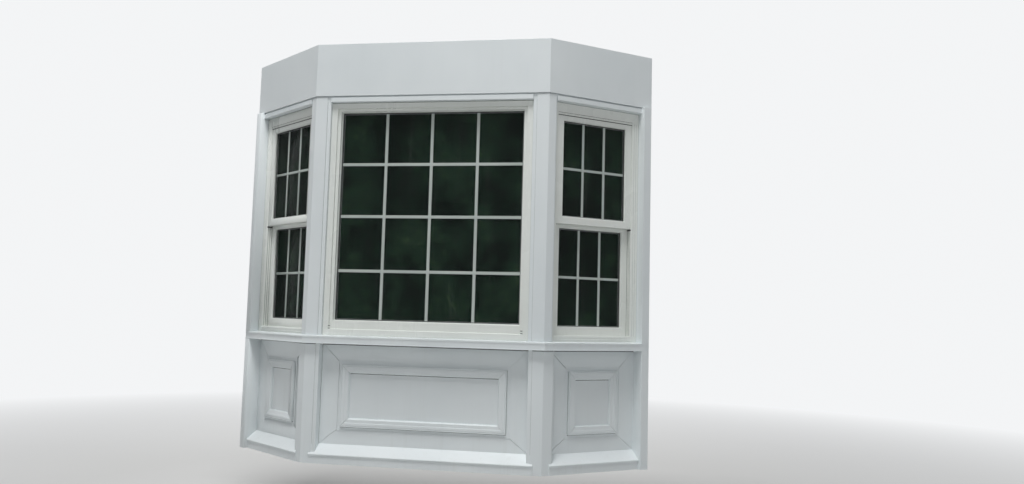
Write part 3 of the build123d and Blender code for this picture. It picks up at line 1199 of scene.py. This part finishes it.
# Sash fittings: low corner, high corner and edge of each block from the place given with it.
fittings = {
    "lock": (0.327, 0.080, 0.788),         # on the lower sash's top rail
    "plate": ((-0.030, -0.009, 0), (0.030, 0.010, 0.004), 0.0012),
    "lever": ((-0.004, 0.001, 0.0045), (0.030, 0.009, 0.0100), 0.0018),
    "cam": {"radius": 0.0095, "tall": 0.008, "rise": 0.0075, "sides": 28, "edge": 0.0012},
    "latches": ((0.094, 0.080, 0.788), (0.529, 0.080, 0.788)),
    "latch": ((-0.004, -0.008, 0), (0.036, 0.009, 0.0032), 0.0012),
    "button": ((0.010, -0.004, 0.0030), (0.024, 0.005, 0.0060), 0.0014),
    "lift": (0.247, 0.0935, 0.162),        # on the bottom rail
    "bar": ((0, 0, 0.008), (0.160, 0.005, 0.014), 0.0015),
    "lip": ((0, 0.003, 0), (0.160, 0.005, 0.012), 0.0009),
}


def fitSashes():
    # a cam lock, a tilt latch at each end and a lift
    x, y, z = fittings["lock"]
    cam = fittings["cam"]
    bpy.ops.mesh.primitive_cylinder_add(vertices=cam["sides"], radius=cam["radius"], depth=cam["tall"],
                                        location=(x, y, z + cam["rise"]))
    disc = applyPlace()
    easeEdges(disc, cam["edge"])
    locks = [block(fittings["lock"], *fittings["plate"]), disc,
             block(fittings["lock"], *fittings["lever"])]
    for place in fittings["latches"]:
        locks += [block(place, *fittings["latch"]), block(place, *fittings["button"])]
    onBoth(settle(joinPieces(locks, "locks"), onRight), "sash_locks", "vinyl", "window_vinyl")
    lift = [block(fittings["lift"], *fittings["bar"]), block(fittings["lift"], *fittings["lip"])]
    onBoth(settle(joinPieces(lift, "lift"), onRight), "sash_lift", "vinyl", "window_vinyl")


fitSashes()
print("Sash fittings made")

# The ledgers' screws end in countersinks at the back, in two rows.
ledgers = {
    "lower_ledger": {"ends": (-0.96, 0.96), "screws": 6, "height": 0.0},
    "upper_ledger": {"ends": (-1.05, 1.05), "screws": 7, "height": 1.552},
}
screw = {
    "row": 0.035,             # each row's distance from the ledger's middle
    "hole": 0.008,            # radius, as the shank's is
    "shank": 0.0045,
    "deep": 0.006,            # depth of the hole
    "rooted": 0.002,          # how far the shank goes on past it
    "under": 0.0008,          # how far the shank's end stays below the face
    "clear": 0.004,           # how far the drill stands out behind
    "sides": 20,
    "edge": 0.0012,
    "from": 40,               # degrees; sharper edges are rounded
}


def rods(places, radius, low, high, name):
    # round bars along y, at each x and z
    made = []
    for x, z in places:
        bpy.ops.mesh.primitive_cylinder_add(vertices=screw["sides"], radius=radius, depth=high - low,
                                            location=(x, (low + high) / 2, z),
                                            rotation=(math.pi / 2, 0, 0))
        made.append(applyPlace())
    return joinPieces(made, name)


def drilledLedger(name, ends, screws, height):
    ledger = nodeCopy(name, name + "_timber")
    gap = (ends[1] - ends[0]) / (screws - 1)
    rows = (height - screw["row"], height + screw["row"])
    places = [(ends[0] + gap * step, rows[step % 2]) for step in range(screws)]
    drill = rods(places, screw["hole"], -screw["deep"], screw["clear"], "drill")
    applyModifier(ledger, "BOOLEAN", {"operation": "DIFFERENCE", "object": drill, "solver": "EXACT"})
    bpy.data.objects.remove(drill)
    easeEdges(ledger, screw["edge"], 1, screw["from"])
    hand(ledger, "timber", "timber", [name])
    shanks = rods(places, screw["shank"], -screw["deep"] - screw["rooted"], -screw["under"],
                  name + "_screws")
    easeEdges(shanks, screw["edge"], 2, screw["from"])
    hand(shanks, "screw")


for name, sizes in ledgers.items():
    drilledLedger(name, **sizes)

boards = {
    "edge": 0.0015,
    "timber": {"nodes": ("head_board", "roof_board"), "slot": "timber"},
    "board": {"nodes": ("seat_board", "underside_board"), "slot": "painted_board"},
}
for finish in ("timber", "board"):
    for name in boards[finish]["nodes"]:
        piece = nodeCopy(name, name + "_eased")
        easeEdges(piece, boards["edge"])
        hand(piece, finish, boards[finish]["slot"], [name])

for name, node in nodes.items():
    if "_glass" in name:
        node.data.materials.clear()
        node.data.materials.append(finishes["glass"])
print("Boards and panes finished")
